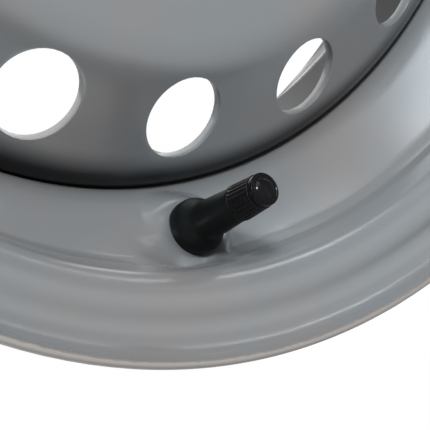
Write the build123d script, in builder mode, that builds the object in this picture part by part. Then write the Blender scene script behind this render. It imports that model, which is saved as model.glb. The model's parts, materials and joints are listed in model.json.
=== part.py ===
from build123d import *
import os
from math import atan2, cos, degrees, hypot, radians, sin, tan

# Trailer wheel rim, 13 inch, 4 inch wide, with its snap-in valve. All sizes in millimetres.
# The wheel lies on its inboard flange. Z is the axle line, pointing outboard, and the
# origin is on it, level with the inboard flange's cut edge. The valve is on the -Y side.

# Barrel, rolled from sheet
bead_seat_diameter = 329.4
width_between_flanges = 101.6
flange_height = 17.3
flange_lip_width = 13.0
flange_lip_radius = 9.5
heel_radius = 6.5
bead_seat_taper = 5.0
barrel_sheet = 2.3
hump_start = 24.0
hump_middle = 27.6
hump_end = 32.4
hump_height = 0.9
hump_bend = 4.5
well_depth = 15.0
well_floor_start = 55.6
well_floor_end = 38.6
well_outboard_bend = 23.0
well_inboard_bend = 5.0
well_shoulder_bend = 5.0
edge_round = 0.4

# Disc, pressed from sheet
disc_sheet = 3.0
wheel_offset = 0.0
centre_bore_radius = 30.0
hub_pad_margin = 8.2
crown_wall_slope = 52.0
crown_drop = 42.6
hub_pad_bend = 14.0
crown_inner_share = 0.316
crown_outer_share = 0.308
vent_slope = 20.5
vent_ring_inset = 21.8
vent_below_crown = 6.1
vent_count = 16
vent_radius = 13.0
vent_edge_round = 0.4
skirt_bend = 8.0
skirt_length = 20.0
disc_turn = 1.3

# Wheel nut holes, each in a small boss pressed outboard
nut_count = 4
nut_circle_diameter = 100.0
nut_turn = 45.0
nut_hole_radius = 6.5
nut_seat_angle = 60.0
nut_seat_depth = 1.7
nut_boss_height = 2.5
nut_boss_radius = 12.2
nut_boss_slope = 43.0

# Weld between the disc's skirt and the barrel
weld_count = 8
weld_leg = 3.2
weld_crown = 0.4
weld_arc = 24.0

# Valve hole and the flat seat pressed for it: a pocket pressed toward the tyre where the
# barrel is too high, and a round pad pressed toward the axle where it is too low.
valve_side = -90.0
valve_pad_inset = 8.9
valve_pad_below_hump = 6.66
valve_lean = 29.8
valve_hole_radius = 5.65
pocket_half_width = 14.5
pocket_wall_reach = 10.8
pocket_open_reach = 12.0
pocket_corner_radius = 5.0
pocket_end_draft = 50.0
pocket_wall_draft = 12.0
pad_radius = 10.7
pad_draft = 20.0
press_height = 14.0

# Valve body, moulded in rubber. Heights are along the valve, from the pad's visible face.
body_foot_radius = 9.0
body_foot_thickness = 5.2
body_foot_end_radius = 7.4
body_foot_band = 1.7
body_foot_hole_radius = 1.6
body_bulb_radius = 8.2
body_bulb_band = 1.6
body_bulb_top = 7.4
body_neck_radius = 5.75
body_neck_flare = 0.35
body_top_radius = 4.85
body_top = 23.5
body_lip_radius = 5.25
body_lip_thickness = 0.9

# Brass stem inside the body, with its threaded end standing out of it
stem_foot = -3.4
stem_top = 30.5
stem_radius = 3.2
stem_flange_radius = 4.6
stem_flange_thickness = 1.2
stem_thread_radius = 3.85
stem_thread_length = 9.0
stem_air_radius = 1.6
stem_chamber_radius = 2.35
stem_chamber_depth = 17.0

# Valve core, bought and fitted as one staked cartridge, and its sealing ring
core_below_rim = 0.6
core_plug_length = 5.2
core_key_width = 2.0
core_key_height = 2.4
core_waist_radius = 1.5
core_ring_gap = 1.6
core_ring_thickness = 1.6
core_barrel_radius = 1.9
core_length = 15.0
core_pin_radius = 0.6
core_pin_reach = 0.4

# Plastic cap, and the rubber disc inside it
cap_skirt_radius = 5.25
cap_skirt_top = 31.9
cap_skirt_draft = 3.0
cap_ridge_count = 26
cap_ridge_height = 0.35
cap_crest_share = 0.24
cap_foot_share = 0.7
cap_groove_radius = 4.2
cap_groove_width = 0.35
cap_collar_radius = 4.6
cap_end_radius = 4.15
cap_end_step = 0.45
cap_top = 34.2
cap_rim_width = 0.45
cap_dish_depth = 0.35
cap_dome_height = 0.3
cap_thread_clearance = 0.12
cap_seal_thickness = 1.0
cap_seal_radius = 3.6

# Sizes that follow from the ones above
bead_seat_radius = bead_seat_diameter / 2
outer_radius = bead_seat_radius + flange_height
overall_width = width_between_flanges + 2 * flange_lip_width
well_radius = bead_seat_radius - well_depth
skirt_radius = well_radius - barrel_sheet
taper = tan(radians(bead_seat_taper))
hub_pad_front = overall_width / 2 + wheel_offset + disc_sheet
hub_pad_radius = nut_circle_diameter / 2 + nut_boss_radius + hub_pad_margin
crown_height = overall_width - crown_drop
crown_wall_run = (crown_height - hub_pad_front) / tan(radians(crown_wall_slope))
vent_height = crown_height - vent_below_crown
vent_ring_radius = skirt_radius - vent_ring_inset
vent_fall = tan(radians(vent_slope))
vent_step = 360 / vent_count
first_vent_angle = valve_side + disc_turn


def offset_corners(points, shift):
    """The corners of a bent line moved sideways by shift, to the right of its direction."""
    normals = []
    for (x0, y0), (x1, y1) in zip(points, points[1:]):
        length = hypot(x1 - x0, y1 - y0)
        normals.append(((y1 - y0) / length, (x0 - x1) / length))
    moved = [(points[0][0] + shift * normals[0][0], points[0][1] + shift * normals[0][1])]
    for (x, y), (ax, ay), (bx, by) in zip(points[1:-1], normals, normals[1:]):
        scale = shift / (1 + ax * bx + ay * by)
        moved.append((x + scale * (ax + bx), y + scale * (ay + by)))
    moved.append((points[-1][0] + shift * normals[-1][0], points[-1][1] + shift * normals[-1][1]))
    return moved


def offset_bends(points, bends, shift):
    """The bend radii of the same line after that move."""
    radii = []
    for (x0, y0), (x1, y1), (x2, y2), bend in zip(points, points[1:], points[2:], bends):
        turn = (x1 - x0) * (y2 - y1) - (y1 - y0) * (x2 - x1)
        radii.append(bend + shift if turn > 0 else bend - shift)
    return radii


# Barrel section, followed from the outboard edge to the inboard edge on the tyre side.
# Each corner is the radius from the axle and the height above the inboard edge.
def seat_radius(inset, raised=0.0):
    return bead_seat_radius - (inset - flange_lip_width) * taper + raised


half_section = [
    (outer_radius, 0.0),
    (outer_radius, flange_lip_width),
    (bead_seat_radius, flange_lip_width),
    (seat_radius(hump_start), hump_start),
    (seat_radius(hump_middle, hump_height), hump_middle),
    (seat_radius(hump_end), hump_end),
]
half_bends = [flange_lip_radius, heel_radius, hump_bend, hump_bend]
tyre_corners = [(radius, overall_width - inset) for radius, inset in half_section]
tyre_corners.append((well_radius, overall_width - well_floor_start))
tyre_corners.append((well_radius, well_floor_end))
tyre_corners.extend((radius, inset) for radius, inset in reversed(half_section))
tyre_bends = half_bends + [well_shoulder_bend, well_outboard_bend]
tyre_bends.extend([well_inboard_bend, well_shoulder_bend])
tyre_bends.extend(reversed(half_bends))
air_corners = offset_corners(tyre_corners, barrel_sheet)
air_bends = offset_bends(tyre_corners, tyre_bends, barrel_sheet)

# Plane of the valve pad: its Z runs up the valve, its X lies along the wheel's rim.
valve_direction = Vector(0, sin(radians(valve_lean)), cos(radians(valve_lean)))
valve_seat = Plane(
    origin=(0, valve_pad_inset - bead_seat_radius, overall_width - hump_end - valve_pad_below_hump),
    x_dir=(1, 0, 0),
    z_dir=valve_direction,
)


def valve_level(height):
    return valve_seat.offset(height)


def pocket_outline(height, sheet):
    """The pocket's outline at one height above the seat, grown by the sheet behind its walls."""
    wall_growth = sheet / cos(radians(pocket_wall_draft)) + height * tan(radians(pocket_wall_draft))
    end_growth = sheet / cos(radians(pocket_end_draft)) + height * tan(radians(pocket_end_draft))
    reach = pocket_wall_reach + wall_growth
    with Locations((0, (pocket_open_reach - reach) / 2)):
        RectangleRounded(
            2 * (pocket_half_width + end_growth),
            pocket_open_reach + reach,
            pocket_corner_radius + wall_growth,
        )


pad_spread = press_height * tan(radians(pad_draft))
pad_hollow_radius = pad_radius - barrel_sheet / cos(radians(pad_draft)) + barrel_sheet * tan(radians(pad_draft))
pad_hollow_spread = (press_height - barrel_sheet) * tan(radians(pad_draft))

with BuildPart() as tyre_side:
    with BuildSketch(Plane.XZ):
        with BuildLine():
            section = FilletPolyline(*tyre_corners, radius=tyre_bends)
            Polyline(section @ 1, (0, 0), (0, overall_width), section @ 0)
        make_face()
    revolve(axis=Axis.Z)
    with BuildSketch(valve_level(-barrel_sheet)):
        pocket_outline(-barrel_sheet, barrel_sheet)
    with BuildSketch(valve_level(press_height)):
        pocket_outline(press_height, barrel_sheet)
    loft()
    with BuildSketch(valve_level(-barrel_sheet)):
        Circle(pad_hollow_radius)
    with BuildSketch(valve_level(-press_height)):
        Circle(pad_hollow_radius + pad_hollow_spread)
    loft(mode=Mode.SUBTRACT)

with BuildPart() as air_side:
    with BuildSketch(Plane.XZ):
        with BuildLine():
            section = FilletPolyline(*air_corners, radius=air_bends)
            Polyline(section @ 1, (0, 0), (0, overall_width), section @ 0)
        make_face()
    revolve(axis=Axis.Z)
    with BuildSketch(valve_level(0)):
        pocket_outline(0, 0)
    with BuildSketch(valve_level(press_height)):
        pocket_outline(press_height, 0)
    loft()
    with BuildSketch(valve_level(0)):
        Circle(pad_radius)
    with BuildSketch(valve_level(-press_height)):
        Circle(pad_radius + pad_spread)
    loft(mode=Mode.SUBTRACT)

with BuildPart() as rim_barrel:
    add(tyre_side.part)
    add(air_side.part, mode=Mode.SUBTRACT)
    with BuildSketch(valve_level(press_height)):
        Circle(valve_hole_radius)
    extrude(amount=-2 * press_height, mode=Mode.SUBTRACT)
    round_edges = rim_barrel.edges().filter_by(GeomType.CIRCLE)
    fillet(round_edges.group_by(Axis.Z)[0] + round_edges.group_by(Axis.Z)[-1], radius=edge_round)


def radial_plane(angle):
    """The upright plane through the axle at an angle, its X pointing outward and its Y up."""
    across = (cos(radians(angle)), sin(radians(angle)), 0)
    return Plane(origin=(0, 0, 0), x_dir=across, z_dir=(across[1], -across[0], 0))


def around(count, start):
    return [start + index * 360 / count for index in range(count)]


# Disc section on its outboard face, from the centre bore to the end of its skirt.
slope_start = vent_ring_radius - vent_below_crown / vent_fall
crown_start = hub_pad_radius + crown_wall_run
crown_width = slope_start - crown_start
crown_inner_bend = crown_inner_share * crown_width / tan(radians(crown_wall_slope / 2))
crown_outer_bend = crown_outer_share * crown_width / tan(radians(vent_slope / 2))
skirt_corner = vent_height - (skirt_radius - vent_ring_radius) * vent_fall
skirt_start = skirt_corner - skirt_bend * tan(radians((90 - vent_slope) / 2))
skirt_end = skirt_start - skirt_length
disc_corners = [
    (centre_bore_radius, hub_pad_front),
    (hub_pad_radius, hub_pad_front),
    (crown_start, crown_height),
    (slope_start, crown_height),
    (skirt_radius, skirt_corner),
    (skirt_radius, skirt_end),
]
disc_bends = [hub_pad_bend, crown_inner_bend, crown_outer_bend, skirt_bend]

# Boss round each nut hole: a short cone on the front, and the same cone hollow behind.
boss_run = 1 / tan(radians(nut_boss_slope))
boss_wall = disc_sheet / sin(radians(nut_boss_slope))
hollow_radius = nut_boss_radius + disc_sheet * boss_run - boss_wall
boss_top = hub_pad_front + nut_boss_height
hub_face = hub_pad_front - disc_sheet
seat_top_radius = nut_hole_radius + nut_seat_depth * tan(radians(nut_seat_angle / 2))
nut_places = PolarLocations(nut_circle_diameter / 2, nut_count, start_angle=nut_turn + disc_turn)


def vent_plane(angle):
    """The plane of one vent hole, square to the sloping face."""
    across = Vector(cos(radians(angle)), sin(radians(angle)), 0)
    centre = across * vent_ring_radius + Vector(0, 0, vent_height)
    outward = across * sin(radians(vent_slope)) + Vector(0, 0, cos(radians(vent_slope)))
    return Plane(origin=centre, x_dir=(-across.Y, across.X, 0), z_dir=outward)


with BuildPart() as wheel_disc:
    with BuildSketch(radial_plane(first_vent_angle + vent_step / 2)):
        with BuildLine():
            front = FilletPolyline(*disc_corners, radius=disc_bends)
            back_corners = offset_corners(disc_corners, disc_sheet)
            back_bends = offset_bends(disc_corners, disc_bends, disc_sheet)
            back = FilletPolyline(*back_corners, radius=back_bends)
            Line(front @ 0, back @ 0)
            Line(front @ 1, back @ 1)
        make_face()
    revolve(axis=Axis.Z)
    with BuildSketch(Plane.XY.offset(hub_pad_front)):
        with nut_places:
            Circle(nut_boss_radius)
    extrude(amount=nut_boss_height, taper=90 - nut_boss_slope)
    with BuildSketch(Plane.XY.offset(hub_face)):
        with nut_places:
            Circle(hollow_radius)
    extrude(amount=nut_boss_height, taper=90 - nut_boss_slope, mode=Mode.SUBTRACT)
    with BuildSketch(Plane.XY.offset(boss_top)):
        with nut_places:
            Circle(seat_top_radius)
    extrude(amount=-nut_seat_depth, taper=nut_seat_angle / 2, mode=Mode.SUBTRACT)
    with BuildSketch(Plane.XY.offset(hub_face)):
        with nut_places:
            Circle(nut_hole_radius)
    extrude(amount=disc_sheet + nut_boss_height, mode=Mode.SUBTRACT)
    with BuildSketch(*[vent_plane(angle) for angle in around(vent_count, first_vent_angle)]):
        Circle(vent_radius)
    extrude(amount=2 * disc_sheet, both=True, mode=Mode.SUBTRACT)
    fillet(wheel_disc.edges(Select.LAST).filter_by(GeomType.BSPLINE), radius=vent_edge_round)

with BuildPart() as disc_welds:
    for angle in around(weld_count, disc_turn - weld_arc / 2):
        with BuildSketch(radial_plane(angle)):
            with BuildLine():
                corner = (skirt_radius, skirt_end)
                toe = (skirt_radius, skirt_end - weld_leg)
                lip = (skirt_radius - disc_sheet, skirt_end)
                bulge = ((toe[0] + lip[0]) / 2 - weld_crown, (toe[1] + lip[1]) / 2 - weld_crown)
                Polyline(lip, corner, toe)
                ThreePointArc(toe, bulge, lip)
            make_face()
        revolve(axis=Axis.Z, revolution_arc=weld_arc)

# Valve pieces are turned about the valve's own axis. In this plane Y runs up the valve.
valve_section = Plane(
    origin=valve_seat.origin, x_dir=(1, 0, 0), z_dir=Vector(1, 0, 0).cross(valve_direction)
)
valve_axis = Axis(valve_seat.origin, valve_direction)
body_foot = -barrel_sheet - body_foot_thickness
lip_start = body_top - body_lip_thickness
thread_start = stem_top - stem_thread_length
chamber_floor = stem_top - stem_chamber_depth

with BuildPart() as valve_body:
    with BuildSketch(valve_section):
        with BuildLine():
            foot = Polyline(
                (body_foot_hole_radius, body_foot),
                (body_foot_end_radius, body_foot),
                (body_foot_radius, -barrel_sheet - body_foot_band),
                (body_foot_radius, -barrel_sheet),
                (valve_hole_radius, -barrel_sheet),
                (valve_hole_radius, 0),
                (body_bulb_radius, 0),
                (body_bulb_radius, body_bulb_band),
            )
            shoulder = Spline(
                (body_bulb_radius, body_bulb_band),
                (body_neck_radius, body_bulb_top),
                tangents=((0, 1), (-body_neck_flare, 1)),
            )
            Polyline(
                (body_neck_radius, body_bulb_top),
                (body_top_radius, lip_start - body_lip_thickness),
                (body_lip_radius, lip_start),
                (body_lip_radius, body_top),
                (stem_thread_radius, body_top),
                (stem_thread_radius, thread_start),
                (stem_radius, thread_start),
                (stem_radius, stem_foot + stem_flange_thickness),
                (stem_flange_radius, stem_foot + stem_flange_thickness),
                (stem_flange_radius, stem_foot),
                (body_foot_hole_radius, stem_foot),
                (body_foot_hole_radius, body_foot),
            )
        make_face()
    revolve(axis=valve_axis)

with BuildPart() as valve_stem:
    with BuildSketch(valve_section):
        with BuildLine():
            Polyline(
                (stem_air_radius, stem_foot),
                (stem_flange_radius, stem_foot),
                (stem_flange_radius, stem_foot + stem_flange_thickness),
                (stem_radius, stem_foot + stem_flange_thickness),
                (stem_radius, thread_start),
                (stem_thread_radius, thread_start),
                (stem_thread_radius, stem_top),
                (stem_chamber_radius, stem_top),
                (stem_chamber_radius, chamber_floor),
                (stem_air_radius, chamber_floor),
                close=True,
            )
        make_face()
    revolve(axis=valve_axis)

plug_top = stem_top - core_below_rim
plug_bottom = plug_top - core_plug_length
ring_top = plug_bottom - core_ring_gap
ring_bottom = ring_top - core_ring_thickness
core_bottom = plug_top - core_length

with BuildPart() as valve_core:
    with BuildSketch(valve_section):
        with BuildLine():
            Polyline(
                (0, core_bottom),
                (core_barrel_radius, core_bottom),
                (core_barrel_radius, ring_bottom),
                (core_waist_radius, ring_bottom),
                (core_waist_radius, plug_bottom),
                (stem_chamber_radius, plug_bottom),
                (stem_chamber_radius, plug_top),
                (0, plug_top),
                close=True,
            )
        make_face()
    revolve(axis=valve_axis)
    with BuildSketch(valve_level(plug_top)):
        Circle(stem_chamber_radius)
        Rectangle(2 * stem_chamber_radius, core_key_width, mode=Mode.SUBTRACT)
    extrude(amount=-core_key_height, mode=Mode.SUBTRACT)
    with BuildSketch(valve_level(plug_top)):
        Circle(core_pin_radius)
    extrude(amount=core_pin_reach)

with BuildPart() as core_ring:
    with BuildSketch(valve_level(ring_bottom)):
        Circle(stem_chamber_radius)
        Circle(core_waist_radius, mode=Mode.SUBTRACT)
    extrude(amount=core_ring_thickness)

cap_bottom = body_top
cap_bore_radius = stem_thread_radius + cap_thread_clearance
cap_ceiling = stem_top + cap_seal_thickness
collar_start = cap_skirt_top + cap_groove_width
collar_top = cap_top - cap_end_step
cap_skirt_fall = (cap_skirt_top - cap_bottom) * tan(radians(cap_skirt_draft))
dome_edge_radius = cap_end_radius - cap_rim_width
dome_radius = (dome_edge_radius**2 + cap_dome_height**2) / (2 * cap_dome_height)
dome_centre = cap_top - cap_dish_depth + cap_dome_height - dome_radius
dome_half_angle = degrees(atan2(dome_edge_radius, dome_radius - cap_dome_height))


def ridge_outline(crest):
    """Corners of the ridged skirt at one level: a flat-topped ridge and a groove in turn."""
    root = crest * (1 - cap_ridge_height / cap_skirt_radius)
    corners = []
    for ridge in range(cap_ridge_count):
        for share, radius in (
            (-cap_foot_share, root),
            (-cap_crest_share, crest),
            (cap_crest_share, crest),
            (cap_foot_share, root),
        ):
            angle = radians((ridge + share / 2) * 360 / cap_ridge_count)
            corners.append((radius * cos(angle), radius * sin(angle)))
    return corners


with BuildPart() as valve_cap:
    with BuildSketch(valve_level(cap_bottom)):
        with BuildLine():
            Polyline(*ridge_outline(cap_skirt_radius), close=True)
        make_face()
    with BuildSketch(valve_level(cap_skirt_top)):
        with BuildLine():
            Polyline(*ridge_outline(cap_skirt_radius - cap_skirt_fall), close=True)
        make_face()
    loft(ruled=True)
    with BuildSketch(valve_section):
        with BuildLine():
            Polyline(
                (0, cap_skirt_top),
                (cap_groove_radius, cap_skirt_top),
                (cap_groove_radius, collar_start),
                (cap_collar_radius, collar_start),
                (cap_collar_radius, collar_top),
                (cap_end_radius, collar_top),
                (cap_end_radius, cap_top),
                (dome_edge_radius, cap_top),
                (dome_edge_radius, cap_top - cap_dish_depth),
            )
            CenterArc((0, dome_centre), dome_radius, 90 - dome_half_angle, dome_half_angle)
            Line((0, dome_centre + dome_radius), (0, cap_skirt_top))
        make_face()
    revolve(axis=valve_axis)
    with BuildSketch(valve_level(cap_bottom)):
        Circle(cap_bore_radius)
    extrude(amount=cap_ceiling - cap_bottom, mode=Mode.SUBTRACT)

with BuildPart() as cap_seal:
    with BuildSketch(valve_level(stem_top)):
        Circle(cap_seal_radius)
    extrude(amount=cap_seal_thickness)

rim_barrel.part.label = "rim_barrel"
wheel_disc.part.label = "wheel_disc"
disc_welds.part.label = "disc_welds"
valve_body.part.label = "valve_body"
valve_stem.part.label = "valve_stem"
valve_core.part.label = "valve_core"
core_ring.part.label = "core_ring"
valve_cap.part.label = "valve_cap"
cap_seal.part.label = "cap_seal"

os.makedirs("parts", exist_ok=True)
for piece in (
    rim_barrel,
    wheel_disc,
    disc_welds,
    valve_body,
    valve_stem,
    valve_core,
    core_ring,
    valve_cap,
    cap_seal,
):
    export_step(piece.part, f"parts/{piece.part.label}.step")
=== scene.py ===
import json
from math import asin, atan2, ceil, cos, hypot, pi, radians, sin, tan

import bmesh
import bpy
from mathutils import Matrix, Vector, kdtree


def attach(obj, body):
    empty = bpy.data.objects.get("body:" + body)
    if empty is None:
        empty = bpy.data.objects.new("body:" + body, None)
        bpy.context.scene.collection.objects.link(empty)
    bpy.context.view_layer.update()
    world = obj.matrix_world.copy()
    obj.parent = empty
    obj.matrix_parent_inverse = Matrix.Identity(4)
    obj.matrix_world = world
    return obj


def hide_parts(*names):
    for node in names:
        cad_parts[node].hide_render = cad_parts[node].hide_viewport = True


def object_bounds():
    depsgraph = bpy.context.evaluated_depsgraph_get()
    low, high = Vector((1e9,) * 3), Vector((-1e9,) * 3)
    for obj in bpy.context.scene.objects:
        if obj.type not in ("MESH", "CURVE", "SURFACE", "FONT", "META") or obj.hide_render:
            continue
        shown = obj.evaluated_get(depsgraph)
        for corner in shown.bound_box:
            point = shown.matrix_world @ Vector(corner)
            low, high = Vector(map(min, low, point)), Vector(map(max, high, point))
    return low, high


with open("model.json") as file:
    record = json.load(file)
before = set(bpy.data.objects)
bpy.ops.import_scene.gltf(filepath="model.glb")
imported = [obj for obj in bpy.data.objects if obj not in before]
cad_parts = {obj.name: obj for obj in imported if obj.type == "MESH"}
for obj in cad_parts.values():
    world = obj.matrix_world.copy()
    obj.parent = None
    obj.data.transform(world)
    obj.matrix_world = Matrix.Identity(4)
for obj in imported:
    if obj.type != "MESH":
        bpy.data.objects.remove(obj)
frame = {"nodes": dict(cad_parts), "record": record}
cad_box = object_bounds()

bl_info = {
    "name": "Trailer wheel rim",
    "version": (1, 0, 0),
    "blender": (4, 5, 0),
    "location": "3D View > Sidebar > Wheel",
    "description": "Dresses the pressed steel trailer wheel and its snap-in valve",
    "category": "Object",
}

MM = 0.001
MERGE = 2e-6
TINY = 1e-5


# Sizes and colours that a user would change


def length(name, description, millimetres):
    return bpy.props.FloatProperty(
        name=name, description=description, default=millimetres * MM, unit="LENGTH", precision=4
    )


def angle(name, description, turned):
    return bpy.props.FloatProperty(
        name=name, description=description, default=radians(turned), subtype="ANGLE"
    )


def share(name, description, part):
    return bpy.props.FloatProperty(
        name=name, description=description, default=part, min=0.0, max=1.0, subtype="FACTOR"
    )


def number(name, description, count):
    return bpy.props.IntProperty(name=name, description=description, default=count, min=1)


def plain(name, description, value, unit="NONE"):
    return bpy.props.FloatProperty(name=name, description=description, default=value, unit=unit)


def point(name, description, *place):
    return bpy.props.FloatVectorProperty(
        name=name, description=description, default=place, unit="LENGTH", precision=4
    )


def to_linear(value):
    return value / 12.92 if value <= 0.04045 else ((value + 0.055) / 1.055) ** 2.4


def colour(hex_value):
    """A node colour from an sRGB hex value."""
    parts = [int(hex_value[i : i + 2], 16) / 255 for i in (0, 2, 4)]
    return (*[to_linear(part) for part in parts], 1.0)


def tone(name, description, hex_value):
    return bpy.props.FloatVectorProperty(
        name=name,
        description=description,
        default=colour(hex_value),
        size=4,
        min=0.0,
        max=1.0,
        subtype="COLOR",
    )


class BarrelSizes(bpy.types.PropertyGroup):
    seat_diameter: length("Seat diameter", "Diameter of the bead seats at the flanges", 329.4)
    flange_gap: length("Width between flanges", "Inside width between the flanges", 101.6)
    flange_height: length("Flange height", "Height of a flange over its seat", 17.3)
    lip_width: length("Lip width", "Width of the curled flange", 13.0)
    lip_bend: length("Lip bend", "Radius of the flange's curl", 9.5)
    heel_bend: length("Heel bend", "Radius between flange and seat", 6.5)
    taper: angle("Seat taper", "Slope of a bead seat", 5.0)
    sheet: length("Sheet", "Thickness of the barrel's sheet", 2.3)
    hump_start: length("Hump start", "Where the hump rises, from the edge", 24.0)
    hump_middle: length("Hump middle", "Crest of the hump, from the edge", 27.6)
    hump_end: length("Hump end", "Where the well's side begins, from the edge", 32.4)
    hump_height: length("Hump height", "Height of the hump over its seat", 0.9)
    hump_bend: length("Hump bend", "Radius of the hump's bends", 4.5)
    well_depth: length("Well depth", "Depth of the well below the seats", 15.0)
    well_from: length("Well start", "Start of the well's floor, from the outboard edge", 55.6)
    well_to: length("Well end", "End of the well's floor, from the inboard edge", 38.6)
    shoulder_bend: length("Shoulder bend", "Radius where a seat turns into the well", 5.0)
    outboard_bend: length("Outboard bend", "Radius at the foot of the outboard side", 23.0)
    inboard_bend: length("Inboard bend", "Radius at the foot of the inboard side", 5.0)
    edge_round: length("Edge round", "Radius on the cut edges", 0.4)
    pad_inset: length("Pad inset", "From the bead seat in to the valve hole", 8.9)
    pad_below_hump: length("Pad place", "From the hump's end to the valve hole", 6.66)
    lean: angle("Valve lean", "Lean of the valve from the axle", 29.8)
    pad_radius: length("Pad radius", "Round pad raised under the valve", 7.6)
    pad_softness: length("Pad softness", "How gently the pad's side runs out", 5.0)
    pad_fade: length("Pad fade", "The same where the pad is raised", 8.0)
    pad_share: share("Pad share", "Part of the way that the pad is raised up to the valve", 0.72)
    pocket_half_width: length("Pocket half width", "Half the flat length of the pocket", 3.0)
    pocket_shift: length("Pocket shift", "Middle of the pocket along the rim", -4.0)
    pocket_reach: length("Pocket reach", "From the valve to the pocket's wall", 10.8)
    pocket_wall_draft: angle("Wall draft", "Slope of the pocket's wall", 12.0)
    pocket_run_left: length("Pocket run, left", "Length in which its left end runs out", 20.0)
    pocket_run_right: length("Pocket run, right", "Length in which its right end runs out", 14.0)
    hole_radius: length("Valve hole", "Radius of the valve hole", 5.65)


class DiscSizes(bpy.types.PropertyGroup):
    sheet: length("Sheet", "Thickness of the disc's sheet", 3.0)
    offset: length("Offset", "Mounting face from the middle of the width", 0.0)
    bore_radius: length("Centre bore", "Radius of the centre bore", 30.0)
    nut_circle: length("Nut circle", "Diameter of the nut circle", 100.0)
    nut_turn: angle("Nut turn", "Turn of the first nut hole", 45.0)
    nut_hole: length("Nut hole", "Radius of a nut hole", 6.5)
    seat_slope: angle("Nut seat", "Half the cone's angle", 30.0)
    seat_depth: length("Nut seat depth", "Depth of the cone", 1.7)
    boss_radius: length("Boss radius", "Foot of the boss round a nut hole", 12.2)
    boss_height: length("Boss height", "Height of the boss", 2.5)
    boss_slope: angle("Boss slope", "Slope of the boss's side", 43.0)
    pad_margin: length("Hub pad margin", "Flat face beyond the bosses", 8.2)
    pad_bend: length("Hub pad bend", "Radius at the edge of the hub pad", 14.0)
    wall_slope: angle("Wall slope", "Slope of the wall up to the crown", 52.0)
    crown_inner: length("Crown inner bend", "Radius at the crown's inner edge", 16.0)
    crown_drop: length("Crown drop", "Crown below the outboard edge", 42.6)
    crown_outer: length("Crown outer bend", "Radius at the crown's outer edge", 42.0)
    vent_slope: angle("Vent slope", "Slope of the face with the vents", 20.5)
    vent_inset: length("Vent inset", "From the skirt in to the vents", 21.8)
    vent_fall: length("Vent fall", "Vents below the crown", 6.1)
    vent_radius: length("Vent radius", "Radius of a vent hole", 13.0)
    skirt_bend: length("Skirt bend", "Radius from the face to the skirt", 8.0)
    skirt_length: length("Skirt length", "Straight length of the skirt", 20.0)
    turn: angle("Turn", "Turn of the disc against the valve", 1.3)
    edge_round: length("Edge round", "Radius on the pierced edges", 0.4)
    weld_leg: length("Weld leg", "Leg of a weld bead", 3.2)
    weld_arc: angle("Weld arc", "Length of a weld bead", 24.0)
    weld_ripple: length("Weld ripple", "Pitch of the ripples in a bead", 1.9)


class ValveSizes(bpy.types.PropertyGroup):
    foot_radius: length("Foot radius", "Rubber foot on the tyre side", 9.0)
    foot_depth: length("Foot depth", "Thickness of the rubber foot", 5.2)
    foot_end: length("Foot end", "Radius at the end of the foot", 7.4)
    bulb_radius: length("Bulb radius", "Rubber bulb on the pad", 8.2)
    bulb_seat: length("Bulb seat", "Depth of the rubber pressed into the pad", 2.1)
    bulb_band: length("Bulb band", "Straight side of the bulb", 1.6)
    bulb_top: length("Bulb top", "Where the bulb meets the neck", 7.4)
    neck_radius: length("Neck radius", "Neck above the bulb", 5.75)
    top_radius: length("Top radius", "Neck under the lip", 4.85)
    body_top: length("Body top", "Top of the rubber", 23.5)
    lip_radius: length("Lip radius", "Lip at the top of the rubber", 5.25)
    lip_depth: length("Lip depth", "Thickness of the lip", 0.9)
    stem_top: length("Stem top", "Top of the brass stem", 30.5)
    thread_radius: length("Thread radius", "Outside of the stem's thread", 3.85)
    cap_radius: length("Cap radius", "Crest of the cap's ridges", 5.25)
    cap_shoulder: length("Cap shoulder", "Top of the ridged skirt", 31.9)
    cap_draft: angle("Cap draft", "Draft of the ridged skirt", 3.0)
    cap_ridges: number("Cap ridges", "Ridges round the cap", 26)
    ridge_height: length("Ridge height", "Height of the ridges", 0.35)
    groove_radius: length("Groove radius", "Groove over the ridged skirt", 4.2)
    groove_width: length("Groove width", "Width of that groove", 0.35)
    collar_radius: length("Collar radius", "Collar over the groove", 4.6)
    end_radius: length("End radius", "End face of the cap", 4.15)
    end_step: length("End step", "Step from the collar to the end face", 0.45)
    cap_top: length("Cap top", "Top of the cap", 34.2)
    end_rim: length("End rim", "Rim round the cap's dish", 0.45)
    dish_depth: length("Dish depth", "Depth of the dish in the cap's end", 0.35)
    dome_height: length("Dome height", "Height of the dome in the dish", 1.0)
    dome_radius: length("Dome radius", "Where the dome's side turns over", 2.3)


class Finish(bpy.types.PropertyGroup):
    enamel: tone("Enamel", "Silver-grey stoved enamel", "8B8A8A")
    enamel_cool: tone("Enamel, cool", "Where the coat is thicker and cooler", "868B8E")
    cut_edge: tone("Cut edge", "Enamel on the sheet's cut edge", "A5A29F")
    edge_line: tone("Edge line", "Thin paint at the edge's corner", "85817D")
    rubber: tone("Rubber", "Valve body", "0B0E0E")
    plastic: tone("Plastic", "Valve cap", "0F0E10")
    brass: tone("Brass", "Valve stem", "C7A66A")
    floor: tone("Floor", "Plain pale floor", "F2F2F2")


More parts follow.
